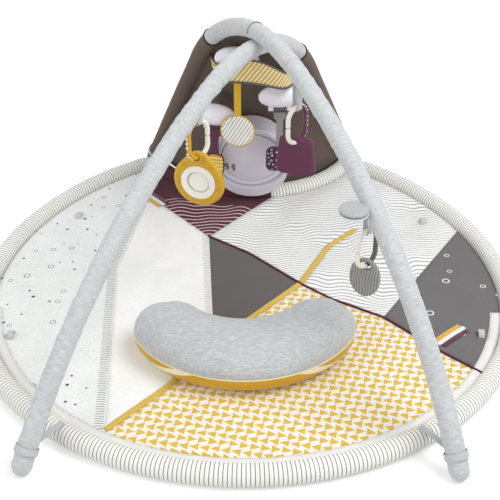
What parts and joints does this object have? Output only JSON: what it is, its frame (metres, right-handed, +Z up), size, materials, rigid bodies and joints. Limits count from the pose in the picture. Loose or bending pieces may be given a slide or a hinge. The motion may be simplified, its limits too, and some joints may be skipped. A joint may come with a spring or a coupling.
{
  "type": "activity play gym",
  "caption": "Round padded patchwork mat under two crossed padded arches, with a backdrop that holds light pods and a kick drum, hanging toys and a loose crescent pillow.",
  "frame": {"origin": "on the floor under the middle of the mat, on the underside of its backing", "axes": "+X to the right seen from the pillow end, +Y from the pillow towards the backdrop, +Z up"},
  "size_m": [0.976, 1.0204, 0.4757],
  "materials": {
    "cloth_backing": "woven",
    "wadding": "soft",
    "heather_jersey": "knit",
    "white_cloth": "woven",
    "burgundy_cloth": "woven",
    "wave_cloth": "woven",
    "charcoal_cloth": "woven",
    "triangle_cloth": "woven",
    "dotted_cloth": "woven",
    "cream_cloth": "woven",
    "mustard_cloth": "woven",
    "burgundy_piping": "corded",
    "striped_rim": "ribbed",
    "grey_webbing": "webbing",
    "dark_webbing": "webbing",
    "glass_fibre": "satin",
    "ferrule_metal": "satin",
    "foam": "foam",
    "grey_jersey": "knit",
    "taupe_cloth": "woven",
    "grey_plastic": "satin",
    "striped_pelmet": "woven",
    "white_plastic": "satin",
    "lilac_plastic": "satin",
    "kick_plastic": "satin",
    "spring_steel": "bright",
    "board": "matt",
    "speaker_black": "matt",
    "cell_metal": "bright",
    "cream_plastic": "satin",
    "mustard_plastic": "satin",
    "purple_plastic": "satin",
    "mustard_rubber": "satin",
    "burgundy_rubber": "satin",
    "dark_plastic": "satin",
    "leaf_cloth": "woven",
    "puck_cloth": "knit",
    "tag_cream": "woven",
    "tag_mustard": "woven",
    "tag_purple": "woven",
    "burgundy_strap": "webbing",
    "mustard_strap_cloth": "webbing",
    "pillow_jersey": "knit",
    "pillow_stripe": "woven"
  },
  "bodies": {
    "gym": {"mat_backing": "cloth_backing", "mat_wadding": "wadding", "patch_heather": "heather_jersey", "patch_white": "white_cloth", "patch_burgundy": "burgundy_cloth", "patch_wave": "wave_cloth", "patch_charcoal": "charcoal_cloth", "patch_triangle": "triangle_cloth", "patch_dotted": "dotted_cloth", "mat_border": "cream_cloth", "mustard_strip": "mustard_cloth", "patch_piping": "burgundy_piping", "rim_bolster": "striped_rim", "webbing_loops": "grey_webbing", "ribbon_tags": "mustard_cloth", "leg_straps": "grey_webbing", "rear_poles": "glass_fibre", "front_poles": "glass_fibre", "pole_ferrules": "ferrule_metal", "foam_tubes": "foam", "front_sleeve_right": "grey_jersey", "front_sleeve_left": "grey_jersey", "crown_sleeves": "grey_jersey", "rear_sleeves": "taupe_cloth", "sleeve_bindings": "taupe_cloth", "foot_caps": "grey_plastic", "backdrop_panel": "taupe_cloth", "pelmet": "striped_pelmet", "pelmet_binding": "dark_webbing", "pod_domes": "white_plastic", "pod_trays": "white_plastic", "pod_back_plates": "white_plastic", "drum_rear_shell": "lilac_plastic", "drum_front_ring": "lilac_plastic", "kick_spring": "spring_steel", "circuit_board": "board", "speaker": "speaker_black", "battery_cells": "cell_metal", "battery_door": "lilac_plastic", "leg_puck": "puck_cloth"},
    "kick_plate": {"kick_plate": "kick_plastic"},
    "egg_link": {"egg_link_smooth": "cream_plastic", "egg_link_nubbed": "mustard_plastic"},
    "egg": {"egg_teether": "mustard_rubber", "egg_ring": "cream_plastic"},
    "spinner": {"egg_spinner": "cream_plastic"},
    "square_link": {"square_link_smooth": "cream_plastic", "square_link_nubbed": "purple_plastic"},
    "square": {"square_teether": "burgundy_rubber"},
    "leaf_link": {"leaf_link_pale": "cream_plastic", "leaf_link_dark": "dark_plastic"},
    "leaf": {"leaf_toy": "leaf_cloth"},
    "round_tag": {"strap_round": "mustard_strap_cloth", "tag_round": "tag_cream"},
    "left_tag": {"strap_left": "burgundy_strap", "tag_left": "tag_mustard"},
    "right_tag": {"strap_right": "dark_webbing", "tag_right": "tag_purple"},
    "pillow": {"pillow_top": "pillow_jersey", "pillow_base": "pillow_stripe"}
  },
  "joints": [
    {"name": "kick", "type": "slide", "parent": "gym", "child": "kick_plate", "axis": [0, 0.9781, 0.2079], "range_m": [0, 0.004], "stiffness_N_per_m": 900, "springref_m": -0.004, "deforming": ["kick_spring"]},
    {"name": "egg_link_swing", "type": "hinge", "parent": "gym", "child": "egg_link", "pos_m": [-0.07616, -0.0522, 0.3735], "axis": [0.7193, 0.6947, 0], "range_deg": [-20, 20]},
    {"name": "egg_swing", "type": "hinge", "parent": "egg_link", "child": "egg", "pos_m": [-0.07616, -0.0522, 0.3095], "axis": [0.7193, 0.6947, 0], "range_deg": [-20, 20]},
    {"name": "square_link_swing", "type": "hinge", "parent": "gym", "child": "square_link", "pos_m": [0.08397, -0.00566, 0.37831], "axis": [0.7193, 0.6947, 0], "range_deg": [-20, 20]},
    {"name": "square_swing", "type": "hinge", "parent": "square_link", "child": "square", "pos_m": [0.08397, -0.00566, 0.31431], "axis": [0.7193, 0.6947, 0], "range_deg": [-20, 20]},
    {"name": "leaf_link_swing", "type": "hinge", "parent": "gym", "child": "leaf_link", "pos_m": [0.19137, -0.20908, 0.26798], "axis": [0.7431, 0.6691, 0], "range_deg": [-20, 20]},
    {"name": "leaf_swing", "type": "hinge", "parent": "leaf_link", "child": "leaf", "pos_m": [0.19137, -0.20908, 0.20397], "axis": [0.7431, 0.6691, 0], "range_deg": [-20, 20]},
    {"name": "spinner_turn", "type": "hinge", "parent": "egg", "child": "spinner", "pos_m": [-0.07616, -0.0522, 0.2643], "axis": [0, 0, 1], "continuous": true},
    {"name": "round_tag_swing", "type": "hinge", "parent": "gym", "child": "round_tag", "pos_m": [-0.0209, 0.23912, 0.33466], "axis": [0.9927, -0.1205, 0], "range_deg": [-30, 0]},
    {"name": "right_tag_swing", "type": "hinge", "parent": "gym", "child": "right_tag", "pos_m": [0.05877, 0.2463, 0.25631], "axis": [0.9961, 0.0878, 0], "range_deg": [-30, 4]},
    {"name": "left_tag_swing", "type": "hinge", "parent": "gym", "child": "left_tag", "pos_m": [-0.06588, 0.27371, 0.20473], "axis": [0.9716, -0.2365, 0], "range_deg": [-30, 0]},
    {"name": "pillow_away", "type": "slide", "parent": "gym", "child": "pillow", "axis": [0, -0.9397, 0.342], "range_m": [0, 0.35]}
  ]
}
